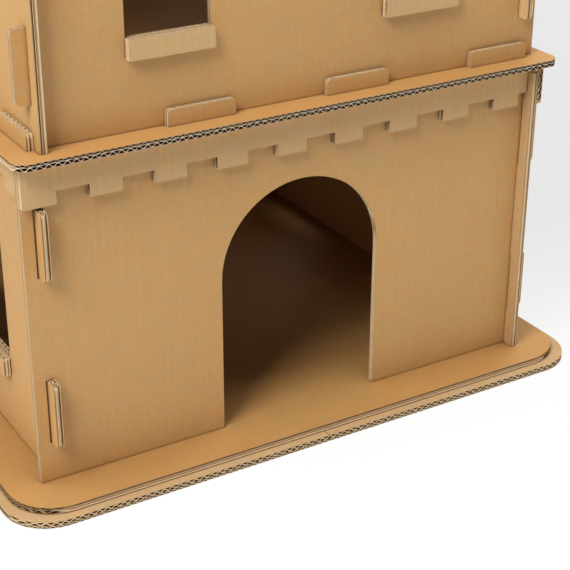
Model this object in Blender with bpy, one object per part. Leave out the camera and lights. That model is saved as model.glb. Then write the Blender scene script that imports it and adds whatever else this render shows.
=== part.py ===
"""Two-storey play castle of slotted and folded corrugated board.

Each storey is a pinwheel of four equal walls: one end of a wall runs on past
its neighbour as a plain end, and the other end passes through the next wall
with two tabs. Sheets lie between the storeys and hold the walls by the tabs
along their top edges. One sheet is folded down on four sides into battlements.
"""
import math

import bmesh
import bpy
from mathutils import Matrix, Vector

COLLECTION_NAME = "Cardboard castle"
ROOT_NAME = "castle"

# Board and the clearance between sheets and in slots
BOARD = 0.0064
FIT = 0.0003

# Walls, and how far their plain ends and tabs stand past the wall they cross
WALL_SPAN = 0.514
WALL_HEIGHT = 0.297
END_OVERRUN = 0.0128

# Tabs at a wall's end: heights of their middles as shares of the wall's height
SIDE_TAB_SHARES = (0.2354, 0.7785)
SIDE_TAB_HEIGHT = 0.063
SIDE_TAB_CORNER = 0.005
# Room beside a side tab, between it and the plain end
SLOT_PLAY = 0.0018

# Tabs along a wall's top: their pitch as a share of the wall's body
TOP_TAB_COUNT = 3
TOP_TAB_WIDTH = 0.0655
TOP_TAB_PITCH_SHARE = 0.3055
TOP_TAB_RISE = 0.0148
TOP_TAB_CORNER = 0.0035

# Arched door in the lower front wall
DOOR_WIDTH = 0.1685
DOOR_SPRING = 0.1532

# Windows, two in a wall, and the flap folded down outside each sill
WINDOW_WIDTH = 0.080
WINDOW_HEIGHT = 0.125
WINDOW_SILL = 0.0799
WINDOW_OFFSET = 0.1263
SILL_FLAP = 0.0178
FOLD_GAP = 0.0008
LINER = 0.0006

# Battlements cut into the folded flaps of the lid
FLAP_DEPTH = 0.038
BATTLEMENT_WIDTH = 0.030
BATTLEMENT_RISE = 0.0118

# Deck and roof sheets
DECK_OVERHANG = 0.0205
DECK_CORNER = 0.013
DECK_CORNER_STEPS = 8

# Base: the floor sheet and the two halves of the sheet below it
FLOOR_MARGIN = 0.0445
BOTTOM_LEDGE = 0.009
BOTTOM_SEAM = 0.0009
BASE_CORNER = 0.045

# Smoothness of the turned corners and the arch
CORNER_STEPS = 5
BASE_CORNER_STEPS = 10
ARCH_STEPS = 32

QUARTER_TURN = math.pi / 2
SIDES = ("front", "right", "back", "left")
LOWER = 1
UPPER = -1

# Sheet colours as linear red, green and blue
KRAFT_WALL = (0.56, 0.34, 0.15)
KRAFT_DECK = (0.60, 0.33, 0.12)
KRAFT_BASE = (0.56, 0.31, 0.12)
KRAFT_INSIDE = (0.50, 0.33, 0.17)
PAPER_ROUGHNESS = 0.85

# Wall sheets stand up: a drawn outline's height becomes the castle's height
UPRIGHT = Matrix.Rotation(QUARTER_TURN, 4, "X")
# A fold's drawn section, outward by height, runs along the wall
ALONG_WALL = Matrix(((0, 0, -1, 0), (-1, 0, 0, 0), (0, 1, 0, 0), (0, 0, 0, 1)))
WELD_DISTANCE = BOARD / 1000
SNAP_DIGITS = 7


def clear_scene():
    """Remove what a new file starts with."""
    for item in list(bpy.data.objects):
        bpy.data.objects.remove(item, do_unlink=True)
    for mesh in list(bpy.data.meshes):
        bpy.data.meshes.remove(mesh)


def paper(name, colour):
    """Plain kraft board material."""
    material = bpy.data.materials.new(name)
    material.use_nodes = True
    shader = material.node_tree.nodes["Principled BSDF"]
    shader.inputs["Base Color"].default_value = (*colour, 1)
    shader.inputs["Roughness"].default_value = PAPER_ROUGHNESS
    shader.inputs["Metallic"].default_value = 0
    material.diffuse_color = (*colour, 1)
    return material


def rounded(corners, steps=CORNER_STEPS):
    """Outline points of square corners (x, y, radius), turned by arcs."""
    points = []
    for index, (x, y, radius) in enumerate(corners):
        here = Vector((x, y))
        if radius == 0:
            points.append((x, y))
            continue
        following = corners[(index + 1) % len(corners)]
        back = (Vector(corners[index - 1][:2]) - here).normalized() * radius
        ahead = (Vector(following[:2]) - here).normalized() * radius
        middle = here + back + ahead
        for step in range(steps + 1):
            angle = QUARTER_TURN * step / steps
            points.append(tuple(middle - ahead * math.cos(angle) - back * math.sin(angle)))
    return points


def rectangle(left, right, low, high, radius=0, steps=CORNER_STEPS):
    """Outline of a rectangle with equal corners."""
    places = ((left, low), (right, low), (right, high), (left, high))
    return rounded([(x, y, radius) for x, y in places], steps)


def sheet(loops, thickness):
    """Closed mesh of a flat outline with its holes, centred on its mid plane."""
    curve = bpy.data.curves.new("outline", "CURVE")
    curve.dimensions = "2D"
    curve.fill_mode = "BOTH"
    curve.extrude = thickness / 2
    for loop in loops:
        spline = curve.splines.new("POLY")
        spline.points.add(len(loop) - 1)
        for point, (x, y) in zip(spline.points, loop):
            point.co = (x, y, 0, 1)
        spline.use_cyclic_u = True
    drawing = bpy.data.objects.new("outline", curve)
    bpy.context.scene.collection.objects.link(drawing)
    graph = bpy.context.evaluated_depsgraph_get()
    mesh = bpy.data.meshes.new_from_object(drawing.evaluated_get(graph))
    bpy.data.objects.remove(drawing, do_unlink=True)
    bpy.data.curves.remove(curve)
    weld(mesh)
    return mesh


def weld(mesh):
    """Join the loose caps of a mesh, even its triangles and turn its faces outward."""
    work = bmesh.new()
    work.from_mesh(mesh)
    bmesh.ops.remove_doubles(work, verts=work.verts, dist=WELD_DISTANCE)
    bmesh.ops.beautify_fill(work, faces=work.faces, edges=work.edges)
    bmesh.ops.recalc_face_normals(work, faces=work.faces)
    work.to_mesh(mesh)
    work.free()


def moved(mesh, matrix):
    """Move a mesh and snap it, so that faces meant to meet do so exactly."""
    mesh.transform(matrix)
    for vertex in mesh.vertices:
        vertex.co = [round(value, SNAP_DIGITS) for value in vertex.co]
    return mesh


def united(base, extras):
    """One mesh of a sheet and the pieces folded from it."""
    body = bpy.data.objects.new("sheet", base)
    bpy.context.scene.collection.objects.link(body)
    folds = []
    for extra in extras:
        fold = bpy.data.objects.new("fold", extra)
        bpy.context.scene.collection.objects.link(fold)
        union = body.modifiers.new("union", "BOOLEAN")
        union.operation = "UNION"
        union.object = fold
        folds.append(fold)
    graph = bpy.context.evaluated_depsgraph_get()
    mesh = bpy.data.meshes.new_from_object(body.evaluated_get(graph))
    for item in (body, *folds):
        bpy.data.objects.remove(item, do_unlink=True)
    weld(mesh)
    return mesh


def top_tab_places(span):
    """Left and right edges of the tabs along a wall's top, right one first."""
    body_end = span / 2 - BOARD - FIT
    body_length = body_end + span / 2 + END_OVERRUN
    pitch = body_length * TOP_TAB_PITCH_SHARE
    rights = [body_end - pitch * index for index in range(TOP_TAB_COUNT)]
    return [(right - TOP_TAB_WIDTH, right) for right in rights]


def side_tab_places():
    """Lower and upper edges of the tabs at a wall's end."""
    middles = [WALL_HEIGHT * share for share in SIDE_TAB_SHARES]
    return [(middle - SIDE_TAB_HEIGHT / 2, middle + SIDE_TAB_HEIGHT / 2) for middle in middles]


def door_corners():
    """Jambs and round head of the door, from left to right."""
    radius = DOOR_WIDTH / 2
    corners = [(-radius, 0, 0)]
    for step in range(ARCH_STEPS + 1):
        angle = math.pi - math.pi * step / ARCH_STEPS
        x = radius * math.cos(angle)
        y = DOOR_SPRING + radius * math.sin(angle)
        corners.append((x, y, 0))
    corners.append((radius, 0, 0))
    return corners


def wall_outline(span, crest, has_door):
    """Outer edge of a wall whose plain end is on the left."""
    reach = span / 2 + END_OVERRUN
    body_end = span / 2 - BOARD - FIT
    corners = [(-reach, 0, 0)]
    if has_door:
        corners += door_corners()
    corners.append((body_end, 0, 0))
    for low, high in side_tab_places():
        corners += [(body_end, low, 0), (reach, low, SIDE_TAB_CORNER)]
        corners += [(reach, high, SIDE_TAB_CORNER), (body_end, high, 0)]
    for left, right in top_tab_places(span):
        corners += [(right, WALL_HEIGHT, 0), (right, crest, TOP_TAB_CORNER)]
        corners += [(left, crest, TOP_TAB_CORNER), (left, WALL_HEIGHT, 0)]
    corners.append((-reach, WALL_HEIGHT, 0))
    return rounded(corners)


def side_slots(span):
    """Slots near a wall's plain end for the tabs of its neighbour."""
    left = -span / 2 - SLOT_PLAY
    right = -span / 2 + BOARD + FIT
    return [rectangle(left, right, low - FIT, high + FIT) for low, high in side_tab_places()]


def window_loop(middle):
    """Straight window opening."""
    half = WINDOW_WIDTH / 2
    return rectangle(middle - half, middle + half, WINDOW_SILL, WINDOW_SILL + WINDOW_HEIGHT)


def sill_fold(span, middle):
    """Flap folded flat down the wall's face, held by the liner at the sill."""
    near = FOLD_GAP
    far = FOLD_GAP + BOARD
    hinge = WINDOW_SILL - LINER
    bottom = WINDOW_SILL - SILL_FLAP
    section = [(-BOARD / 2, WINDOW_SILL), (far, WINDOW_SILL), (far, bottom)]
    section += [(near, bottom), (near, hinge), (-BOARD / 2, hinge)]
    mesh = sheet([section], WINDOW_WIDTH)
    return moved(mesh, Matrix.Translation((middle, -span / 2, 0)) @ ALONG_WALL)


def wall_mesh(span, crest, hand, has_door):
    """Wall sheet on the front side of a storey; hand says where its tabs are."""
    loops = [wall_outline(span, crest, has_door), *side_slots(span)]
    loops = [[(x * hand, y) for x, y in loop] for loop in loops]
    middles = [] if has_door else [-WINDOW_OFFSET, WINDOW_OFFSET]
    loops += [window_loop(middle) for middle in middles]
    place = Matrix.Translation((0, (BOARD - span) / 2, 0)) @ UPRIGHT
    mesh = moved(sheet(loops, BOARD), place)
    return united(mesh, [sill_fold(span, middle) for middle in middles])


def turned(point, side):
    """A point of the front side, turned to another side of the castle."""
    x, y = point
    for _ in range(side):
        x, y = -y, x
    return (x, y)


def tab_slots(span, hand):
    """Slots in a lying sheet for the top tabs of the four walls below."""
    low = -span / 2 - FIT
    high = -span / 2 + BOARD + FIT
    slots = []
    for side in range(len(SIDES)):
        for left, right in top_tab_places(span):
            slot = rectangle(left - FIT, right + FIT, low, high)
            slots.append([turned((x * hand, y), side) for x, y in slot])
    return slots


def flap_outline(start, end):
    """Hanging flap with battlements, its teeth counted from its free end."""
    top = BOARD
    low = top - FLAP_DEPTH
    notch = low + BATTLEMENT_RISE
    points = [(start, top)]
    x = start
    while x < end:
        tooth_end = min(x + BATTLEMENT_WIDTH, end)
        points += [(x, low), (tooth_end, low)]
        x += 2 * BATTLEMENT_WIDTH
        if tooth_end < end:
            points += [(tooth_end, notch), (min(x, end), notch)]
    points.append((end, top))
    return points


def lid_mesh():
    """Sheet over the lower walls, folded down outside them on four sides."""
    face = WALL_SPAN / 2 + FIT + BOARD
    reach = WALL_SPAN / 2 + END_OVERRUN
    body_end = WALL_SPAN / 2 - BOARD - FIT
    outline = []
    for side in range(len(SIDES)):
        for corner in ((body_end, -face), (body_end, -reach), (face, -reach)):
            outline.append(turned(corner, side))
    plate = sheet([outline, *tab_slots(WALL_SPAN, LOWER)], BOARD)
    plate = moved(plate, Matrix.Translation((0, 0, BOARD / 2)))
    flaps = []
    for side in range(len(SIDES)):
        turn = Matrix.Rotation(QUARTER_TURN * side, 4, "Z")
        place = Matrix.Translation((0, BOARD / 2 - face, 0)) @ UPRIGHT
        flaps.append(moved(sheet([flap_outline(-reach, body_end)], BOARD), turn @ place))
    return united(plate, flaps)


def deck_mesh(span, hand):
    """Flat sheet with turned corners and a slot for each top tab."""
    half = span / 2 + DECK_OVERHANG
    edge = rectangle(-half, half, -half, half, DECK_CORNER, DECK_CORNER_STEPS)
    return sheet([edge, *tab_slots(span, hand)], BOARD)


def floor_mesh():
    """Floor sheet of the base."""
    half = WALL_SPAN / 2 + FLOOR_MARGIN
    return sheet([rectangle(-half, half, -half, half, BASE_CORNER, BASE_CORNER_STEPS)], BOARD)


def bottom_mesh(hand):
    """One half of the sheet below the floor, butted at the middle."""
    half = WALL_SPAN / 2 + FLOOR_MARGIN + BOTTOM_LEDGE
    seam = BOTTOM_SEAM / 2 * hand
    edge = half * hand
    corners = [(seam, -half, 0), (edge, -half, BASE_CORNER), (edge, half, BASE_CORNER)]
    corners.append((seam, half, 0))
    return sheet([rounded(corners, BASE_CORNER_STEPS)], BOARD)


def add_node(name, mesh, height, side, material, parent, collection):
    """Place one piece at its height, turned to its side of the castle."""
    mesh.name = name
    mesh.materials.clear()
    mesh.materials.append(material)
    node = bpy.data.objects.new(name, mesh)
    collection.objects.link(node)
    node.parent = parent
    node.location = (0, 0, height)
    node.rotation_euler = (0, 0, QUARTER_TURN * side)
    return node


def build_castle():
    """Stack the base, the lower storey, the deck, the upper storey and the roof."""
    collection = bpy.data.collections.new(COLLECTION_NAME)
    bpy.context.scene.collection.children.link(collection)
    root = bpy.data.objects.new(ROOT_NAME, None)
    collection.objects.link(root)
    layer = BOARD + FIT
    flat = BOARD / 2

    bottom_paper = paper("bottom kraft", KRAFT_BASE)
    for name, hand in (("base_bottom_left", -1), ("base_bottom_right", 1)):
        add_node(name, bottom_mesh(hand), flat, 0, bottom_paper, root, collection)
    floor_paper = paper("floor kraft", KRAFT_BASE)
    add_node("base_floor", floor_mesh(), layer + flat, 0, floor_paper, root, collection)

    lower_paper = paper("lower wall kraft", KRAFT_WALL)
    lower_foot = 2 * layer
    lower_crest = WALL_HEIGHT + 2 * layer + TOP_TAB_RISE
    for side, side_name in enumerate(SIDES):
        mesh = wall_mesh(WALL_SPAN, lower_crest, LOWER, side_name == "front")
        add_node("lower_wall_" + side_name, mesh, lower_foot, side, lower_paper, root, collection)

    lid_paper = paper("lid kraft", KRAFT_INSIDE)
    lid_height = lower_foot + WALL_HEIGHT + FIT
    add_node("lower_lid", lid_mesh(), lid_height, 0, lid_paper, root, collection)
    deck_paper = paper("deck kraft", KRAFT_DECK)
    deck_height = lid_height + layer
    deck = deck_mesh(WALL_SPAN, LOWER)
    add_node("deck", deck, deck_height + flat, 0, deck_paper, root, collection)

    upper_paper = paper("upper wall kraft", KRAFT_WALL)
    upper_span = WALL_SPAN - 2 * layer
    upper_foot = deck_height + layer
    upper_crest = WALL_HEIGHT + layer + TOP_TAB_RISE
    for side, side_name in enumerate(SIDES):
        mesh = wall_mesh(upper_span, upper_crest, UPPER, False)
        add_node("upper_wall_" + side_name, mesh, upper_foot, side, upper_paper, root, collection)

    roof_paper = paper("roof kraft", KRAFT_DECK)
    roof_height = upper_foot + WALL_HEIGHT + FIT
    roof = deck_mesh(upper_span, UPPER)
    add_node("roof", roof, roof_height + flat, 0, roof_paper, root, collection)


clear_scene()
build_castle()
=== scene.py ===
"""Cardboard castle: every sheet dressed as real double-wall corrugated board."""
import itertools
import math

import bmesh
import bpy
from bpy.props import (
    FloatProperty,
    FloatVectorProperty,
    IntProperty,
    PointerProperty,
)
from mathutils import Matrix, Vector


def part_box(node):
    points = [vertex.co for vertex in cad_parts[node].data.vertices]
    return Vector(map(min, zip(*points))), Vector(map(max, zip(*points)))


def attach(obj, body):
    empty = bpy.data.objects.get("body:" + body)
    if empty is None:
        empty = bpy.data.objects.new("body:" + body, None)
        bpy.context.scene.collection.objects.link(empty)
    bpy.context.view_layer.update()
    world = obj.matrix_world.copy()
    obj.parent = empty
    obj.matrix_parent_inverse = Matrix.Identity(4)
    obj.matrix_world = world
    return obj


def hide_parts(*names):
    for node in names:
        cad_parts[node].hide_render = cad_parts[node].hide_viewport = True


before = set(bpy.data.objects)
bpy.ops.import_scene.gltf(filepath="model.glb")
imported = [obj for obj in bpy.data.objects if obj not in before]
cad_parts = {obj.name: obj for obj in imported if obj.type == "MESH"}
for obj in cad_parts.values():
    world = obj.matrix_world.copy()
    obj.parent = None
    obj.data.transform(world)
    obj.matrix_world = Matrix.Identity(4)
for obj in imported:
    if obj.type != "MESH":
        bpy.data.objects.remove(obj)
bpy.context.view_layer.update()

bl_info = {
    "name": "Cardboard castle",
    "version": (1, 0, 0),
    "blender": (4, 5, 0),
    "location": "View3D > Sidebar > Castle",
    "description": "Builds the boards, folds and papers of a cardboard castle",
    "category": "Add Mesh",
}

BODY = "root"
SIDES = ("front", "right", "back", "left")
UP = Vector((0, 0, 1))
EAST = Vector((1, 0, 0))
NORTH = Vector((0, 1, 0))
MERGE = 0.00001
SAME_PLANE = 0.00002
BOARD_MAP = "board"
EDGE_MAP = "inset"
# Reaches of the painted shade in snug gaps and where parts touch.
SNUG_SHADE_REACH = 0.006
TOUCH_SHADE_REACH = 0.0018
# Reach and top height of the painted shade inside the lower storey.
ROOM_SHADE_REACH = 0.35
LOWER_STOREY_TOP = (0.29, 0.33)
CREASE_WIDTH = (0.0002, 0.0008)
CREASE_WANDER = 0.002
CRUSHED_END = (0.0005, 0.0045)
# Band by the side edges where the fluting gets painted light.
FLANK_LIGHT_BAND = (0.0022, 0.0046)
LINER_RELIEF = 0.00025
CUT_RELIEF = 0.0003
WAVE_RELIEF = 0.0002
ROUND_STEPS = 6
LAMP_TARGET = Vector((0, 0, 0.3))
LAMPS = {
    "key": ((-1.84, -1.06, 2.42), 1.2),
    "top": ((0.0, 0.0, 3.2), 2.4),
    "right": ((2.4, -1.0, 1.6), 2.0),
    "back": ((2.0, 1.2, 1.9), 1.6),
}
FLOOR_SIZE = 30


def sheet_thickness():
    """The board's thickness, as the deck has it."""
    low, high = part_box("deck")
    return high.z - low.z


BOARD = sheet_thickness()


class CastleBoardSizes(bpy.types.PropertyGroup):
    """Sizes of the corrugated board."""

    liner: FloatProperty(
        name="Liner", description="Thickness of a flat liner",
        default=0.00034, min=0.0001, subtype="DISTANCE", unit="LENGTH", precision=5)
    paper: FloatProperty(
        name="Coarse paper", description="Thickness of the coarse flute's wavy paper",
        default=0.00062, min=0.0001, subtype="DISTANCE", unit="LENGTH", precision=5)
    fine_paper: FloatProperty(
        name="Fine paper", description="Thickness of the fine flute's wavy paper",
        default=0.00046, min=0.0001, subtype="DISTANCE", unit="LENGTH", precision=5)
    fine_pitch: FloatProperty(
        name="Fine pitch", description="Crest to crest in the fine flute",
        default=0.00644, min=0.001, subtype="DISTANCE", unit="LENGTH", precision=5)
    fine_height: FloatProperty(
        name="Fine height", description="Height of the fine flute",
        default=0.00215, min=0.0005, subtype="DISTANCE", unit="LENGTH", precision=5)
    coarse_pitch: FloatProperty(
        name="Coarse pitch", description="Crest to crest in the coarse flute",
        default=0.00796, min=0.002, subtype="DISTANCE", unit="LENGTH", precision=5)
    worn: FloatProperty(
        name="Worn papers", description="How much thicker the base's crushed wavy papers are",
        default=2.4, min=0.5, max=3.0, subtype="FACTOR")
    steps: IntProperty(
        name="Steps", description="Straight pieces in one wave of the fluting",
        default=12, min=4, max=16)


class CastlePapers(bpy.types.PropertyGroup):
    """Colours of the papers."""

    outside: FloatVectorProperty(
        name="Outside", description="Smooth outer liner of the walls",
        default=(0.580, 0.330, 0.116), size=3, min=0, max=1, subtype="COLOR")
    inside: FloatVectorProperty(
        name="Inside", description="Greyer inner liner, seen on the folded flaps",
        default=(0.620, 0.400, 0.188), size=3, min=0, max=1, subtype="COLOR")
    deck: FloatVectorProperty(
        name="Deck", description="Liner of the deck and the base",
        default=(0.455, 0.240, 0.070), size=3, min=0, max=1, subtype="COLOR")
    ledge: FloatVectorProperty(
        name="Ledge", description="Upper liner of the lowest sheet",
        default=(0.500, 0.325, 0.160), size=3, min=0, max=1, subtype="COLOR")
    rim: FloatVectorProperty(
        name="Rim", description="Cut edge of an outer liner",
        default=(0.560, 0.400, 0.235), size=3, min=0, max=1, subtype="COLOR")
    cut: FloatVectorProperty(
        name="Cut edge", description="Raw edge of the deck's coarse flute and middle liner",
        default=(0.930, 0.730, 0.530), size=3, min=0, max=1, subtype="COLOR")
    torn: FloatVectorProperty(
        name="Torn edge", description="Duller raw edge of the other papers inside the board",
        default=(0.740, 0.560, 0.335), size=3, min=0, max=1, subtype="COLOR")
    fluting: FloatVectorProperty(
        name="Fluting", description="Wavy paper between the liners",
        default=(0.640, 0.480, 0.300), size=3, min=0, max=1, subtype="COLOR")
    lip: FloatVectorProperty(
        name="Floor rim", description="Dirtier cut edge of the floor sheet's upper liner",
        default=(0.420, 0.270, 0.120), size=3, min=0, max=1, subtype="COLOR")
    brown: FloatVectorProperty(
        name="Brown fluting", description="Darker wavy paper of the fine flute and the base",
        default=(0.460, 0.300, 0.150), size=3, min=0, max=1, subtype="COLOR")


class CastleStageSettings(bpy.types.PropertyGroup):
    """Camera, lamps and backdrop."""

    eye: FloatVectorProperty(
        name="Camera place", description="Where the camera stands",
        default=(-0.6509, -1.3088, 0.7530), size=3, subtype="TRANSLATION", unit="LENGTH")
    turn: FloatProperty(
        name="Turn", description="Camera's turn to the right of the castle's depth",
        default=math.radians(31.042), subtype="ANGLE", unit="ROTATION")
    tilt: FloatProperty(
        name="Tilt", description="Camera's tilt below the horizon",
        default=math.radians(26.265), subtype="ANGLE", unit="ROTATION")
    roll: FloatProperty(
        name="Roll", description="Camera's roll about its line of sight",
        default=math.radians(0.213), subtype="ANGLE", unit="ROTATION")
    lens: FloatProperty(
        name="Lens", description="Focal length in millimetres on a 36 mm frame",
        default=93.0, min=10)
    key: FloatProperty(
        name="Key lamp", description="Power of the lamp high on the left in watts", default=76.0)
    top: FloatProperty(
        name="Top lamp", description="Power of the lamp overhead in watts", default=90.0)
    right: FloatProperty(
        name="Right lamp", description="Power of the lamp on the right in watts", default=16.0)
    back: FloatProperty(
        name="Back lamp", description="Power of the lamp behind on the right in watts", default=10.0)
    sky: FloatProperty(
        name="Surround", description="Strength of the pale surround", default=0.02)
    backdrop: FloatProperty(
        name="Backdrop", description="How white the floor looks to the camera",
        default=0.90, min=0, max=1, subtype="FACTOR")


class Wire:
    """An output in a node tree, on which Python's operators add Math nodes."""

    def __init__(self, tree, socket):
        self.tree = tree
        self.socket = socket

    def other(self, name):
        """Another output of the same node."""
        return Wire(self.tree, self.socket.node.outputs[name])

    def maths(self, operation, *values):
        """One Math node on this value."""
        settings = {"operation": operation}
        return self.tree.add("ShaderNodeMath", dict(enumerate(values)), settings)

    def __add__(self, value):
        return self.maths("ADD", self, value)

    def __radd__(self, value):
        return self.maths("ADD", value, self)

    def __sub__(self, value):
        return self.maths("SUBTRACT", self, value)

    def __rsub__(self, value):
        return self.maths("SUBTRACT", value, self)

    def __mul__(self, value):
        return self.maths("MULTIPLY", self, value)

    def __rmul__(self, value):
        return self.maths("MULTIPLY", value, self)

    def __truediv__(self, value):
        return self.maths("DIVIDE", self, value)

    def __rtruediv__(self, value):
        return self.maths("DIVIDE", value, self)

    def sine(self):
        return self.maths("SINE", self)

    def whole(self):
        return self.maths("CEIL", self)

    def smooth(self, low, high):
        """0 below low and 1 above high, with a soft step between."""
        values = {"Value": self, "From Min": low, "From Max": high}
        settings = {"interpolation_type": "SMOOTHSTEP"}
        return self.tree.add("ShaderNodeMapRange", values, settings)


class Tree:
    """A node tree; add() is the one method that makes its nodes."""

    def __init__(self, nodes, links):
        self.nodes = nodes
        self.links = links

    def add(self, kind, values=None, settings=None, output=0):
        """Makes a node, sets it up, and gives its output as a Wire."""
        node = self.nodes.new(kind)
        for name, setting in (settings or {}).items():
            setattr(node, name, setting)
        for name, value in (values or {}).items():
            several = value if isinstance(value, list) else [value]
            for item in several:
                if isinstance(item, Wire):
                    self.links.new(item.socket, node.inputs[name])
                else:
                    node.inputs[name].default_value = item
        if not len(node.outputs):
            return None
        return Wire(self, node.outputs[output])

    def vector(self, x=0.0, y=0.0, z=0.0):
        return self.add("ShaderNodeCombineXYZ", {"X": x, "Y": y, "Z": z})

    def parts(self, vector):
        """The three numbers of a vector."""
        x = self.add("ShaderNodeSeparateXYZ", {"Vector": vector})
        return x, x.other("Y"), x.other("Z")

    def mix(self, factor, first, second, blend="MIX"):
        """Two colours mixed by a factor."""
        values = {0: factor, 6: first, 7: second}
        settings = {"data_type": "RGBA", "blend_type": blend}
        return self.add("ShaderNodeMix", values, settings, output=2)

    def noise(self, place, scale, detail=2.0, roughness=0.5):
        """Soft noise from 0 to 1."""
        values = {"Vector": place, "Scale": scale, "Detail": detail, "Roughness": roughness}
        return self.add("ShaderNodeTexNoise", values)


def rgba(colour):
    """A paper's colour with full cover."""
    return (*colour, 1.0)


def new_paper(name, colour):
    """An empty paper material, its node tree and the three numbers of its board map."""
    material = bpy.data.materials.new(name)
    material.use_nodes = True
    material.diffuse_color = rgba(colour)
    nodes = material.node_tree.nodes
    nodes.clear()
    tree = Tree(nodes, material.node_tree.links)
    settings = {"attribute_name": BOARD_MAP}
    place = tree.add("ShaderNodeAttribute", settings=settings, output="Vector")
    return material, tree, tree.parts(place)


def matt_surface(tree, tone, height, roughness, relief, gloss=0.0):
    """Matt paper surface with its grain as relief."""
    bump = tree.add("ShaderNodeBump", {"Strength": 0.25, "Distance": relief, "Height": height})
    values = {
        "Base Color": tone,
        "Roughness": roughness,
        "Normal": bump,
        "Specular IOR Level": gloss,
    }
    surface = tree.add("ShaderNodeBsdfPrincipled", values)
    tree.add("ShaderNodeOutputMaterial", {"Surface": surface})


def tinted(colour, shares):
    """A colour with each of its parts scaled."""
    return rgba([min(1.0, part * share) for part, share in zip(colour, shares)])


def shelter(tree, reach, samples=4, own=False):
    """How open a place is: 1 in the open, 0 deep in a gap narrower than the reach."""
    settings = {"samples": samples, "only_local": own}
    return tree.add("ShaderNodeAmbientOcclusion", {"Distance": reach}, settings, output="AO")


def liner_paper(
    name, colour, ridge_shade=0.010, grain=0.34, roughness=0.66, gloss=0.50, crease=0.0,
    room_shade=None, contact_shade=0.45,
):
    """Kraft liner: cloudy tone, fibres, flecks, the flutes showing through as relief and as painted
    shade lines, and painted shade in gaps and where parts touch.

    The painted shade inside the lower storey takes two numbers: how open a place is where that shade
    is darkest, and where it ends.
    """
    board = bpy.context.scene.castle_board
    material, tree, (across, along, depth) = new_paper(name, colour)
    place = tree.vector(across, along, depth)
    cloud = tree.noise(place, 7.0, 2.0) - 0.5
    patch = tree.noise(place, 38.0, 3.0) - 0.5
    mottle = tree.noise(place, 230.0, 2.0) - 0.5
    fibre = tree.noise(tree.vector(across * 0.45, along, depth), 820.0, 3.0, 0.65) - 0.5
    streak = tree.noise(tree.vector(across, along * 0.05, depth), 260.0, 2.0) - 0.5
    fleck = tree.noise(tree.vector(across * 0.7, along, depth), 430.0, 1.0).smooth(0.72, 0.80)
    # Painted shade: faint darker and lighter lines along the flutes stand for the light and shade on
    # the liner's ridges over them; the same waves also go into the relief.
    wave = (across * (2 * math.pi / board.coarse_pitch)).sine()
    fine_wave = (across * (2 * math.pi / board.fine_pitch)).sine()
    shade = cloud * 0.20 + patch * 0.12 + mottle * 0.16 + fibre * grain + streak * 0.10
    shade = shade + wave * ridge_shade + fine_wave * (0.4 * ridge_shade)
    dark = tinted(colour, (0.70, 0.66, 0.60))
    light = tinted(colour, (1.28, 1.31, 1.38))
    tone = tree.mix(shade + 0.5, dark, light)
    tone = tree.mix(fleck * 0.22, tone, tinted(colour, (0.6, 0.55, 0.5)))
    drift = tree.noise(tree.vector(across + 3.0, along, depth), 60.0, 2.0).smooth(0.25, 0.75)
    hue = tree.mix(drift, (1.030, 0.985, 0.930, 1.0), (0.975, 1.010, 1.070, 1.0))
    tone = tree.mix(1.0, tone, hue, "MULTIPLY")
    height = fibre * 0.6 + mottle * 0.5 + patch * 0.5 + wave * 0.4 + fine_wave * 0.12
    if crease:
        wander = tree.noise(tree.vector(across), 30.0, 2.0) - 0.5
        off = along + wander * CREASE_WANDER
        line = 1.0 - off.maths("ABSOLUTE", off).smooth(*CREASE_WIDTH)
        worn = tree.noise(tree.vector(across), 160.0, 2.0).smooth(0.30, 0.60)
        line = line * (worn * 0.7 + 0.3)
        tone = tree.mix(line * crease, tone, tinted(colour, (1.45, 1.6, 2.1)))
        height = height - line * 2.0
    # Painted shade: the lower storey's inside is darkened by up to 88% where little light reaches
    # it, below the deck's height.
    if room_shade:
        _, _, high = tree.parts(tree.add("ShaderNodeTexCoord", output="Object"))
        deep = 1.0 - shelter(tree, ROOM_SHADE_REACH).smooth(*room_shade)
        deep = deep * (1.0 - high.smooth(*LOWER_STOREY_TOP))
        tone = tree.mix(deep * 0.88, tone, tinted(colour, (0.40, 0.34, 0.26)))
    # Painted shade: darker in snug gaps and where parts touch, as under the flaps, by the tabs'
    # slots and at the foot of the walls.
    snug_shade = 1.0 - shelter(tree, SNUG_SHADE_REACH).smooth(0.25, 0.75)
    touch_shade = 1.0 - shelter(tree, TOUCH_SHADE_REACH).smooth(0.45, 0.95)
    tone = tree.mix(snug_shade * 0.60, tone, tinted(colour, (0.34, 0.26, 0.18)))
    tone = tree.mix(touch_shade * contact_shade, tone, tinted(colour, (0.24, 0.17, 0.11)))
    matt_surface(tree, tone, height, roughness + patch * 0.15, LINER_RELIEF, gloss)
    return material


def cut_paper(name, colour):
    """Raw paper where a blade has crushed and torn the liners, with painted shade where it touches
    other parts.
    """
    material, tree, (across, along, depth) = new_paper(name, colour)
    torn = tree.noise(tree.vector(across, along, depth * 2.0), 900.0, 2.0, 0.6) - 0.5
    dirt = tree.noise(tree.vector(across, along, depth), 90.0, 2.0) - 0.5
    dark = tinted(colour, (0.62, 0.56, 0.48))
    light = tinted(colour, (1.25, 1.28, 1.34))
    tone = tree.mix(torn * 0.7 + dirt * 0.5 + 0.5, dark, light)
    # Painted shade where the cut edge touches other parts.
    touch_shade = 1.0 - shelter(tree, TOUCH_SHADE_REACH).smooth(0.35, 0.90)
    tone = tree.mix(touch_shade * 0.60, tone, tinted(colour, (0.22, 0.13, 0.07)))
    matt_surface(tree, tone, torn, 0.9, CUT_RELIEF)
    return material


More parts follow.
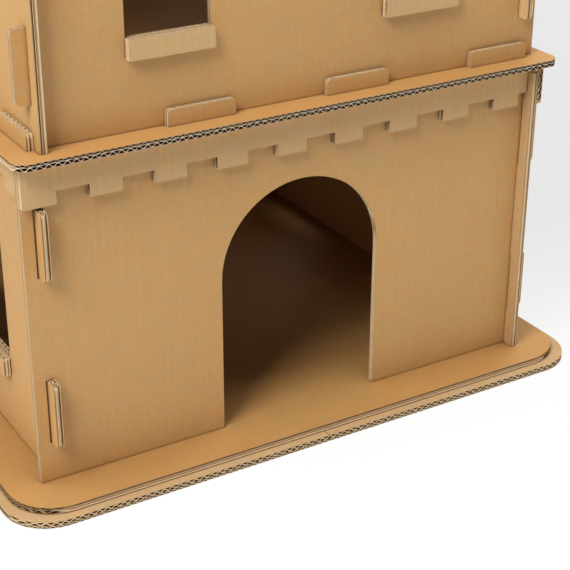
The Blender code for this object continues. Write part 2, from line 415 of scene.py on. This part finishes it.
def wavy_paper(
    name, colour, dark=(0.200, 0.090, 0.030), crushed=0.0, flank_light=0.0, shade_opening=(0.35, 0.85),
):
    """Fluting: painted shade darkens it deep inside the board; crushed is how far that shade is
    lifted by its crushed ends, and flank is the painted light by its sides.

    The opening numbers are how open a place is where the painted shade is darkest and where the
    paper has its own colour.
    """
    material, tree, (across, along, depth) = new_paper(name, colour)
    torn = tree.noise(tree.vector(across, along, depth), 700.0, 2.0, 0.6) - 0.5
    # Painted shade inside the board: an occlusion test finds how open each place is, and that sets
    # how far the paper tends to the dark tint.
    open_air = shelter(tree, BOARD, 6, True)
    inset = tree.add("ShaderNodeAttribute", settings={"attribute_name": EDGE_MAP}, output="Vector")
    left, right, end = tree.parts(inset)
    lit = open_air.smooth(*shade_opening)
    if crushed:
        pressed = (1.0 - end.smooth(*CRUSHED_END)) * (torn + crushed)
        lit = lit.maths("MAXIMUM", lit, pressed)
    tone = tree.mix(lit + torn * 0.20, tinted(colour, dark), rgba(colour))
    # Painted light: by the side edges, where the flanks lie in shade, the paper gets a fixed tone of
    # its own colour instead of its shaded one.
    if flank_light:
        side = 1.0 - left.maths("MINIMUM", left, right).smooth(*FLANK_LIGHT_BAND)
        pale = tinted(colour, (flank_light, flank_light, flank_light))
        tone = tree.mix(side * open_air.smooth(0.0, 0.05), tone, pale)
    matt_surface(tree, tone, torn, 0.9, WAVE_RELIEF)
    return material


def papers():
    """The castle's papers, made once."""
    if not PAPERS:
        tones = bpy.context.scene.castle_papers
        rough = {"ridge_shade": 0.014, "grain": 0.38, "roughness": 0.86, "gloss": 0.30}
        shut = (0.05, 0.50)
        # The outside liner gets stronger painted shade where parts touch.
        PAPERS["outside"] = liner_paper("outside_liner", tones.outside, contact_shade=0.50)
        # The inside and floor liners carry the painted shade of the lower storey.
        PAPERS["inside"] = liner_paper("inside_liner", tones.inside, room_shade=(0.08, 0.50), **rough)
        PAPERS["deck"] = liner_paper("deck_liner", tones.deck)
        PAPERS["floor"] = liner_paper("floor_liner", tones.deck, crease=0.20, room_shade=(0.12, 0.62))
        PAPERS["ledge"] = liner_paper("ledge_liner", tones.ledge, **rough)
        PAPERS["cut"] = cut_paper("cut_edge", tones.cut)
        PAPERS["torn"] = cut_paper("torn_edge", tones.torn)
        PAPERS["rim"] = cut_paper("liner_rim", tones.rim)
        PAPERS["lip"] = cut_paper("floor_rim", tones.lip)
        # The flank factors set the painted light on the flanks by the side edges.
        PAPERS["coarse"] = wavy_paper("coarse_fluting", tones.fluting, flank_light=1.0)
        PAPERS["pale"] = wavy_paper("pale_fluting", tones.fluting, flank_light=1.35)
        PAPERS["brown"] = wavy_paper("brown_fluting", tones.brown)
        PAPERS["edge"] = wavy_paper("edge_fluting", tones.brown, flank_light=0.80)
        # The walls' fluting gets milder painted shade, which is lifted at the crushed ends.
        PAPERS["wall"] = wavy_paper(
            "wall_fluting", tones.torn, dark=(0.46, 0.30, 0.17), crushed=0.85, shade_opening=shut)
        PAPERS["crushed"] = wavy_paper(
            "crushed_fluting", tones.torn, dark=(0.66, 0.52, 0.36), crushed=1.0, shade_opening=shut)
    return PAPERS


PAPERS = {}
SEEDS = itertools.count(1)
# Papers of each kind of board, in the order of the board's material inputs:
# fine face, coarse face, rims, coarse cut, fine cut, coarse waves, fine waves.
LOOKS = {
    "wall": ("outside", "inside", "rim", "torn", "torn", "wall", "wall"),
    "sill": ("outside", "inside", "rim", "torn", "torn", "crushed", "crushed"),
    "lid": ("outside", "inside", "rim", "torn", "torn", "pale", "wall"),
    "deck": ("deck", "inside", "rim", "cut", "torn", "coarse", "brown"),
    "floor": ("floor", "inside", "lip", "rim", "rim", "pale", "edge"),
    "base": ("deck", "ledge", "torn", "torn", "torn", "brown", "brown"),
}


def closed_sheet(tree, flat, low, thickness):
    """A flat or wavy surface made a closed sheet; also the field of its rim."""
    base = tree.add("GeometryNodeTransform", {"Geometry": flat, "Translation": tree.vector(z=low)})
    values = {"Mesh": base, "Offset": tree.vector(z=thickness), "Individual": False}
    lifted = tree.add("GeometryNodeExtrudeMesh", values, {"mode": "FACES"})
    under = tree.add("GeometryNodeFlipFaces", {"Mesh": base})
    both = tree.add("GeometryNodeJoinGeometry", {"Geometry": [lifted, under]})
    sheet = tree.add("GeometryNodeMergeByDistance", {"Geometry": both, "Distance": MERGE / 10})
    return sheet, lifted.other("Side")


def liner(tree, flat, low, thickness, face, edge, hollow, facing=0):
    """A flat liner: its cut edges, and its side towards the flutes, in papers of their own."""
    sheet, rim = closed_sheet(tree, flat, low, thickness)
    sheet = tree.add("GeometryNodeSetMaterial", {"Geometry": sheet, "Material": face})
    _, _, rise = tree.parts(tree.add("GeometryNodeInputNormal"))
    inner = (rise * facing).maths("LESS_THAN", rise * facing, -0.5)
    values = {"Geometry": sheet, "Selection": inner, "Material": hollow}
    sheet = tree.add("GeometryNodeSetMaterial", values)
    values = {"Geometry": sheet, "Selection": rim, "Material": edge}
    return tree.add("GeometryNodeSetMaterial", values)


def flute(tree, flat, low, height, steps, pitch, paper, phase, material, edge):
    """Wavy paper between two liners, trimmed to the sheet's outline."""
    block, _ = closed_sheet(tree, flat, -BOARD / 2, BOARD)
    block = tree.add("GeometryNodeSetMaterial", {"Geometry": block, "Material": edge})
    box = tree.add("GeometryNodeBoundBox", {"Geometry": flat}, output="Min")
    top = box.other("Max")
    centre = tree.add("ShaderNodeVectorMath", {0: box, 1: top}, {"operation": "ADD"})
    centre = tree.add("ShaderNodeVectorMath", {0: centre, "Scale": 0.5}, {"operation": "SCALE"})
    span = tree.add("ShaderNodeVectorMath", {0: top, 1: box}, {"operation": "SUBTRACT"})
    wide, deep, _ = tree.parts(span)
    wide = wide + BOARD
    columns = (wide / pitch * steps).whole()
    values = {"Size X": wide, "Size Y": deep + BOARD, "Vertices X": columns, "Vertices Y": 2}
    grid = tree.add("GeometryNodeMeshGrid", values)
    grid = tree.add("GeometryNodeTransform", {"Geometry": grid, "Translation": centre})
    x, _, _ = tree.parts(tree.add("GeometryNodeInputPosition"))
    drift = tree.noise(tree.vector(x), 14.0, 1.0) - 0.5
    swing = (height - paper * 0.6) * 0.5
    turn = x / pitch * (2 * math.pi) + drift * 0.3 + phase
    lift = low + height * 0.5 + swing * turn.sine()
    values = {"Geometry": grid, "Offset": tree.vector(z=lift - paper * 0.5)}
    wave = tree.add("GeometryNodeSetPosition", values)
    ribbon, _ = closed_sheet(tree, wave, 0.0, paper)
    ribbon = tree.add("GeometryNodeSetMaterial", {"Geometry": ribbon, "Material": material})
    settings = {"operation": "INTERSECT", "solver": "EXACT"}
    return tree.add("GeometryNodeMeshBoolean", {"Mesh 2": [ribbon, block]}, settings)


BOARD_INPUTS = (
    ("Liner", "NodeSocketFloat"),
    ("Coarse paper", "NodeSocketFloat"),
    ("Fine paper", "NodeSocketFloat"),
    ("Fine pitch", "NodeSocketFloat"),
    ("Fine height", "NodeSocketFloat"),
    ("Coarse pitch", "NodeSocketFloat"),
    ("Steps", "NodeSocketFloat"),
    ("Fine phase", "NodeSocketFloat"),
    ("Coarse phase", "NodeSocketFloat"),
    ("Seed", "NodeSocketFloat"),
    ("Fine face", "NodeSocketMaterial"),
    ("Coarse face", "NodeSocketMaterial"),
    ("Rim", "NodeSocketMaterial"),
    ("Coarse cut", "NodeSocketMaterial"),
    ("Fine cut", "NodeSocketMaterial"),
    ("Coarse fluting", "NodeSocketMaterial"),
    ("Fine fluting", "NodeSocketMaterial"),
)


def board_group():
    """Geometry Nodes group that turns a flat outline into double-wall board."""
    name = "Double-wall board"
    if name in bpy.data.node_groups:
        return bpy.data.node_groups[name]
    group = bpy.data.node_groups.new(name, "GeometryNodeTree")
    face = group.interface
    face.new_socket("Outline", in_out="INPUT", socket_type="NodeSocketGeometry")
    for label, kind in BOARD_INPUTS:
        face.new_socket(label, in_out="INPUT", socket_type=kind)
    face.new_socket("Board", in_out="OUTPUT", socket_type="NodeSocketGeometry")
    tree = Tree(group.nodes, group.links)
    given = tree.add("NodeGroupInput")
    flat = given.other("Outline")
    thin, steps, fine = (given.other(label) for label in ("Liner", "Steps", "Fine height"))
    rim = given.other("Rim")
    edge = given.other("Coarse cut")
    fluting = given.other("Coarse fluting")
    half = BOARD / 2
    middle = half - thin * 2 - fine
    coarse = middle + half - thin
    waves = {
        "Fine": (middle + thin, fine),
        "Coarse": (thin - half, coarse),
    }
    layers = [
        liner(tree, flat, half - thin, thin, given.other("Fine face"), rim, fluting, 1),
        liner(tree, flat, middle, thin, fluting, edge, fluting),
        liner(tree, flat, -half, thin, given.other("Coarse face"), rim, fluting, -1),
    ]
    for label, (low, height) in waves.items():
        parts = ("pitch", "paper", "phase", "fluting", "cut")
        shape = [given.other(f"{label} {part}") for part in parts]
        layers.append(flute(tree, flat, low, height, steps, *shape))
    board = tree.add("GeometryNodeJoinGeometry", {"Geometry": layers})
    board = tree.add("GeometryNodeRealizeInstances", {"Geometry": board})
    box = tree.add("GeometryNodeBoundBox", {"Geometry": flat}, output="Min")
    x, y, _ = tree.parts(tree.add("GeometryNodeInputPosition"))
    low_x, _, _ = tree.parts(box)
    high_x, high_y, _ = tree.parts(box.other("Max"))
    inset = tree.vector(x - low_x, high_x - x, high_y - y)
    values = {"Geometry": board, "Name": EDGE_MAP, "Value": inset}
    board = tree.add("GeometryNodeStoreNamedAttribute", values, {"data_type": "FLOAT_VECTOR"})
    shift = tree.vector(z=given.other("Seed"))
    values = {0: tree.add("GeometryNodeInputPosition"), 1: shift}
    place = tree.add("ShaderNodeVectorMath", values, {"operation": "ADD"})
    values = {"Geometry": board, "Name": BOARD_MAP, "Value": place}
    board = tree.add("GeometryNodeStoreNamedAttribute", values, {"data_type": "FLOAT_VECTOR"})
    tree.add("NodeGroupOutput", {"Board": board})
    return group


def crest_phase(place, pitch, rise):
    """Phase of a flute with a crest at a place: rise 1 is up, -1 is down."""
    return (math.pi / 2 * rise - 2 * math.pi * place / pitch) % (2 * math.pi)


def board_mesh(flat, look, edge, rises):
    """Plain mesh of double-wall board on a flat outline, its flutes lined up at an edge."""
    sizes = bpy.context.scene.castle_board
    group = board_group()
    coarse_rise, fine_rise = rises
    worn = sizes.worn if look == "base" else 1.0
    values = {
        "Liner": sizes.liner,
        "Coarse paper": sizes.paper * worn,
        "Fine paper": sizes.fine_paper * worn,
        "Fine pitch": sizes.fine_pitch,
        "Fine height": sizes.fine_height,
        "Coarse pitch": sizes.coarse_pitch,
        "Steps": float(sizes.steps),
        "Fine phase": crest_phase(edge, sizes.fine_pitch, fine_rise),
        "Coarse phase": crest_phase(edge, sizes.coarse_pitch, coarse_rise),
        "Seed": float(next(SEEDS)),
    }
    labels = [label for label, kind in BOARD_INPUTS if kind == "NodeSocketMaterial"]
    for label, paper_name in zip(labels, LOOKS[look]):
        values[label] = papers()[paper_name]
    holder = bpy.data.objects.new("flat", flat)
    bpy.context.scene.collection.objects.link(holder)
    modifier = holder.modifiers.new("board", "NODES")
    modifier.node_group = group
    for item in group.interface.items_tree:
        if item.name in values:
            modifier[item.identifier] = values[item.name]
    graph = bpy.context.evaluated_depsgraph_get()
    mesh = bpy.data.meshes.new_from_object(holder.evaluated_get(graph))
    bpy.data.objects.remove(holder, do_unlink=True)
    return mesh


def axes(across_flutes, along_flutes, fine_side, origin):
    """Matrix that carries a board from its drawing plane to its place."""
    turn = Matrix((across_flutes, along_flutes, fine_side)).transposed().to_4x4()
    return Matrix.Translation(origin) @ turn


def plane_faces(node, normal, farthest=False):
    """A node's faces along a normal: those in the largest or the farthest plane."""
    work = bmesh.new()
    work.from_mesh(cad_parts[node].data)
    bmesh.ops.remove_doubles(work, verts=work.verts, dist=MERGE)
    planes = {}
    for face in work.faces:
        if face.normal.dot(normal) > 0.99:
            depth = face.calc_center_median().dot(normal)
            key = next((known for known in planes if abs(known - depth) < SAME_PLANE), depth)
            planes.setdefault(key, []).append(face)
    if farthest:
        chosen = max(planes)
    else:
        chosen = max(planes, key=lambda key: sum(face.calc_area() for face in planes[key]))
    kept = set(planes[chosen])
    gone = [face for face in work.faces if face not in kept]
    bmesh.ops.delete(work, geom=gone, context="FACES")
    return work, chosen


def flat_mesh(work, place):
    """Faces of one plane laid flat in the drawing plane, facing up."""
    bmesh.ops.transform(work, matrix=place.inverted(), verts=work.verts)
    for vertex in work.verts:
        vertex.co.z = 0
    work.normal_update()
    facing_down = [face for face in work.faces if face.normal.z < 0]
    bmesh.ops.reverse_faces(work, faces=facing_down)
    mesh = bpy.data.meshes.new("outline")
    work.to_mesh(mesh)
    work.free()
    return mesh


def sheet_on(
    node, normal, fine_side, along, look, shown, keep=None, farthest=False, rises=(1, 1),
):
    """Board in the place of a node's flat face, its flutes lined up at the edge towards shown.

    rises is which way the coarse and the fine flute turn at that edge, 1 or -1.
    """
    work, depth = plane_faces(node, normal, farthest)
    if keep:
        keep(work)
    across = along.cross(fine_side)
    place = axes(across, along, fine_side, normal * (depth - BOARD / 2))
    flat = flat_mesh(work, place)
    side = round(shown.dot(across))
    edge = side * max(vertex.co.x * side for vertex in flat.vertices)
    mesh = board_mesh(flat, look, edge, rises)
    mesh.transform(place)
    return mesh


def joined(name, meshes):
    """One mesh of several, with their papers and board maps kept."""
    parts = []
    for mesh in meshes:
        part = bpy.data.objects.new(name, mesh)
        bpy.context.scene.collection.objects.link(part)
        parts.append(part)
    with bpy.context.temp_override(
        active_object=parts[0], object=parts[0],
        selected_objects=parts, selected_editable_objects=parts,
    ):
        bpy.ops.object.join()
    return parts[0]


def dress(name, node, meshes):
    """Puts a finished piece in the place of its node."""
    piece = joined(name, meshes)
    piece.name = name
    piece.data.name = name
    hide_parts(node)
    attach(piece, BODY)
    return piece


def outward(side):
    """The direction that a side of the castle faces."""
    return Matrix.Rotation(math.pi / 2 * side, 3, "Z") @ Vector((0, -1, 0))


def half_round(start, end, radius, up, out):
    """The liner's tight turn at a fold: a half-round bead between two points."""
    work = bmesh.new()
    rows = []
    for end_point in (start, end):
        row = []
        for step in range(ROUND_STEPS + 1):
            angle = math.pi * step / ROUND_STEPS
            offset = out * (radius * math.cos(angle)) + up * (radius * math.sin(angle))
            row.append(work.verts.new(end_point + offset))
        rows.append(row)
    for step in range(ROUND_STEPS):
        work.faces.new((rows[0][step], rows[0][step + 1], rows[1][step + 1], rows[1][step]))
    work.faces.new((rows[0][0], rows[1][0], rows[1][-1], rows[0][-1]))
    work.faces.new(rows[0])
    work.faces.new(rows[1])
    bmesh.ops.recalc_face_normals(work, faces=work.faces)
    mesh = bpy.data.meshes.new("fold")
    work.to_mesh(mesh)
    work.free()
    mesh.materials.append(papers()["outside"])
    store_board_map(mesh)
    return mesh


def store_board_map(mesh):
    """Gives a mesh that isn't board the papers' map, from its own place."""
    attribute = mesh.attributes.new(BOARD_MAP, "FLOAT_VECTOR", "POINT")
    for vertex, item in zip(mesh.vertices, attribute.data):
        item.vector = vertex.co


def sill_beads(node, normal):
    """The folded liner along the top of each sill flap."""
    board = bpy.context.scene.castle_board
    work, depth = plane_faces(node, normal, farthest=True)
    inner, wall_depth = plane_faces(node, -normal)
    inner.free()
    gap = depth - BOARD - (-wall_depth + BOARD)
    radius = gap / 2 + board.liner
    along = UP.cross(normal)
    beads = []
    for island in islands(work):
        ends = [vertex.co.dot(along) for vertex in island]
        top = max(vertex.co.z for vertex in island)
        middle = normal * (depth - BOARD - gap / 2) + UP * (top - radius)
        first = middle + along * min(ends)
        last = middle + along * max(ends)
        beads.append(half_round(first, last, radius, UP, normal))
    work.free()
    return beads


def islands(work):
    """Groups of joined vertices."""
    left = set(work.verts)
    groups = []
    while left:
        group = set()
        ready = [left.pop()]
        while ready:
            vertex = ready.pop()
            group.add(vertex)
            near = {edge.other_vert(vertex) for edge in vertex.link_edges}
            ready += list(near & left)
            left -= near
        groups.append(group)
    return groups


def near_end(side):
    """The direction of a wall's end nearest the front left corner."""
    return -EAST if side % 2 == 0 else -NORTH


def dress_walls(storey, has_sills, rises):
    """The four walls of a storey with the flaps folded from their windows."""
    for side, side_name in enumerate(SIDES):
        node = f"{storey}_wall_{side_name}"
        normal = outward(side)
        end = near_end(side)
        meshes = [sheet_on(node, -normal, normal, UP, "wall", end, rises=rises[side % 2])]
        if has_sills(side_name):
            flap = sheet_on(node, normal, -normal, UP, "sill", end, farthest=True)
            meshes += [flap, *sill_beads(node, normal)]
        dress(f"{storey}_{side_name}_wall_board", node, meshes)


class CASTLE_OT_lower_walls(bpy.types.Operator):
    """Board walls of the lower storey"""

    bl_idname = "castle.lower_walls"
    bl_label = "Lower walls"

    def execute(self, context):
        rises = ((1, -1), (1, -1))
        dress_walls("lower", lambda side_name: side_name != "front", rises)
        return {"FINISHED"}


class CASTLE_OT_upper_walls(bpy.types.Operator):
    """Board walls of the upper storey"""

    bl_idname = "castle.upper_walls"
    bl_label = "Upper walls"

    def execute(self, context):
        rises = ((1, 1), (-1, 1))
        dress_walls("upper", lambda side_name: True, rises)
        return {"FINISHED"}


def lid_reach():
    """Where the lid's folds lie: the inner faces of its flaps, and its ends."""
    work, face = plane_faces("lower_lid", outward(0))
    ends = [vertex.co.x for vertex in work.verts]
    work.free()
    return face - BOARD, min(ends), max(ends)


def trim_plate(work):
    """Takes the four flaps' strips off the lid's upper face."""
    fold, start, end = lid_reach()
    for side in range(len(SIDES)):
        normal = outward(side)
        along = UP.cross(normal)
        for point, direction in ((normal * fold, normal), (along * end, along)):
            geometry = [*work.verts, *work.edges, *work.faces]
            bmesh.ops.bisect_plane(work, geom=geometry, plane_co=point, plane_no=direction)
    strips = []
    for face in work.faces:
        middle = face.calc_center_median()
        for side in range(len(SIDES)):
            normal = outward(side)
            place = middle.dot(UP.cross(normal))
            if middle.dot(normal) > fold and start < place < end:
                strips.append(face)
                break
    bmesh.ops.delete(work, geom=strips, context="FACES")


class CASTLE_OT_folded_lid(bpy.types.Operator):
    """The sheet over the lower walls, folded down into battlements"""

    bl_idname = "castle.folded_lid"
    bl_label = "Folded lid"

    def execute(self, context):
        meshes = [sheet_on("lower_lid", UP, -UP, NORTH, "lid", -EAST, trim_plate)]
        for side in range(len(SIDES)):
            normal = outward(side)
            along = NORTH if abs(normal.x) > 0.5 else UP
            meshes.append(sheet_on("lower_lid", normal, -normal, along, "lid", near_end(side)))
        dress("folded_lid_board", "lower_lid", meshes)
        return {"FINISHED"}


class CASTLE_OT_deck_and_roof(bpy.types.Operator):
    """The deck between the storeys and the roof sheet"""

    bl_idname = "castle.deck_and_roof"
    bl_label = "Deck and roof"

    def execute(self, context):
        for node in ("deck", "roof"):
            sheet = sheet_on(node, UP, UP, NORTH, "deck", -EAST, rises=(-1, -1))
            dress(f"{node}_board", node, [sheet])
        return {"FINISHED"}


class CASTLE_OT_base(bpy.types.Operator):
    """The floor sheet and the two halves below it"""

    bl_idname = "castle.base"
    bl_label = "Base"

    def execute(self, context):
        floor = sheet_on("base_floor", UP, UP, EAST, "floor", -NORTH, rises=(-1, 1))
        dress("floor_board", "base_floor", [floor])
        for half in ("left", "right"):
            node = f"base_bottom_{half}"
            sheet = sheet_on(node, UP, -UP, NORTH, "base", -EAST, rises=(-1, 1))
            dress(f"bottom_{half}_board", node, [sheet])
        return {"FINISHED"}


def area_lamp(name, place, size, power):
    """A large soft lamp aimed at the castle."""
    data = bpy.data.lights.new(name, "AREA")
    data.shape = "SQUARE"
    data.size = size
    data.energy = power
    lamp = bpy.data.objects.new(name, data)
    bpy.context.scene.collection.objects.link(lamp)
    lamp.location = place
    lamp.rotation_euler = (LAMP_TARGET - Vector(place)).to_track_quat("-Z", "Y").to_euler()


def seen_directly(tree):
    """1 for the camera's rays and for reflections and clear things that show the stage."""
    seen = tree.add("ShaderNodeLightPath", output="Is Camera Ray")
    glossy = seen.other("Is Glossy Ray")
    through = seen.other("Is Transmission Ray")
    return seen.maths("MAXIMUM", seen.maths("MAXIMUM", seen, glossy), through)


def white_floor(whiteness):
    """Pale floor, white in front and a little greyer behind, that keeps the shadow."""
    material = bpy.data.materials.new("studio_white")
    material.use_nodes = True
    material.node_tree.nodes.clear()
    tree = Tree(material.node_tree.nodes, material.node_tree.links)
    floor = tree.add("ShaderNodeBsdfDiffuse", {"Color": (0.86, 0.86, 0.85, 1.0)})
    white = tree.add("ShaderNodeEmission", {"Color": (1.0, 1.0, 1.0, 1.0), "Strength": 1.0})
    grey = tree.add("ShaderNodeEmission", {"Color": (0.80, 0.80, 0.80, 1.0), "Strength": 1.0})
    right, back, _ = tree.parts(tree.add("ShaderNodeTexCoord", output="Object"))
    far = (right * 0.5 + back).smooth(-0.35, 0.35)
    backdrop = tree.add("ShaderNodeMixShader", {0: far, 1: white, 2: grey})
    values = {0: seen_directly(tree) * whiteness, 1: floor, 2: backdrop}
    mixed = tree.add("ShaderNodeMixShader", values)
    tree.add("ShaderNodeOutputMaterial", {"Surface": mixed})
    return material


def make_world(strength):
    """Pale surround: plain light on the castle, white to the camera."""
    world = bpy.data.worlds.new("surround")
    bpy.context.scene.world = world
    world.use_nodes = True
    world.node_tree.nodes.clear()
    tree = Tree(world.node_tree.nodes, world.node_tree.links)
    level = seen_directly(tree) * (1.0 - strength) + strength
    light = tree.add("ShaderNodeBackground", {"Color": (1.0, 1.0, 1.0, 1.0), "Strength": level})
    tree.add("ShaderNodeOutputWorld", {"Surface": light})


class CASTLE_OT_stage(bpy.types.Operator):
    """Floor, lamps, surround and camera"""

    bl_idname = "castle.stage"
    bl_label = "Stage"

    def execute(self, context):
        settings = context.scene.castle_stage
        bpy.ops.mesh.primitive_plane_add(size=FLOOR_SIZE)
        floor = context.object
        floor.name = "studio_floor"
        floor.data.materials.append(white_floor(settings.backdrop))
        for name, (place, size) in LAMPS.items():
            area_lamp(name, place, size, getattr(settings, name))
        make_world(settings.sky)
        data = bpy.data.cameras.new("camera")
        data.lens = settings.lens
        data.sensor_width = 36
        camera = bpy.data.objects.new("camera", data)
        context.scene.collection.objects.link(camera)
        turn = Matrix.Rotation(-settings.turn, 4, "Z")
        tilt = Matrix.Rotation(math.pi / 2 - settings.tilt, 4, "X")
        roll = Matrix.Rotation(settings.roll, 4, "Z")
        camera.matrix_world = Matrix.Translation(settings.eye) @ turn @ tilt @ roll
        context.scene.camera = camera
        context.scene.view_settings.view_transform = "Standard"
        return {"FINISHED"}


class CASTLE_PT_sidebar(bpy.types.Panel):
    """The castle's pieces and sizes"""

    bl_idname = "CASTLE_PT_sidebar"
    bl_label = "Cardboard castle"
    bl_space_type = "VIEW_3D"
    bl_region_type = "UI"
    bl_category = "Castle"

    def draw(self, context):
        scene = context.scene
        for settings in (scene.castle_board, scene.castle_papers, scene.castle_stage):
            box = self.layout.box()
            for name in settings.__annotations__:
                box.prop(settings, name)
        for operator in OPERATORS:
            self.layout.operator(operator.bl_idname)


SETTINGS = (
    ("castle_board", CastleBoardSizes),
    ("castle_papers", CastlePapers),
    ("castle_stage", CastleStageSettings),
)
OPERATORS = (
    CASTLE_OT_base,
    CASTLE_OT_lower_walls,
    CASTLE_OT_folded_lid,
    CASTLE_OT_deck_and_roof,
    CASTLE_OT_upper_walls,
    CASTLE_OT_stage,
)


def register():
    for name, group in SETTINGS:
        bpy.utils.register_class(group)
        setattr(bpy.types.Scene, name, PointerProperty(type=group))
    for item in (*OPERATORS, CASTLE_PT_sidebar):
        bpy.utils.register_class(item)


def unregister():
    for item in reversed((*OPERATORS, CASTLE_PT_sidebar)):
        bpy.utils.unregister_class(item)
    for name, group in reversed(SETTINGS):
        delattr(bpy.types.Scene, name)
        bpy.utils.unregister_class(group)


def main():
    """Builds the castle piece by piece."""
    register()
    bpy.ops.castle.base()
    bpy.ops.castle.lower_walls()
    bpy.ops.castle.folded_lid()
    bpy.ops.castle.deck_and_roof()
    bpy.ops.castle.upper_walls()
    bpy.ops.castle.stage()


if __name__ == "__main__":
    main()
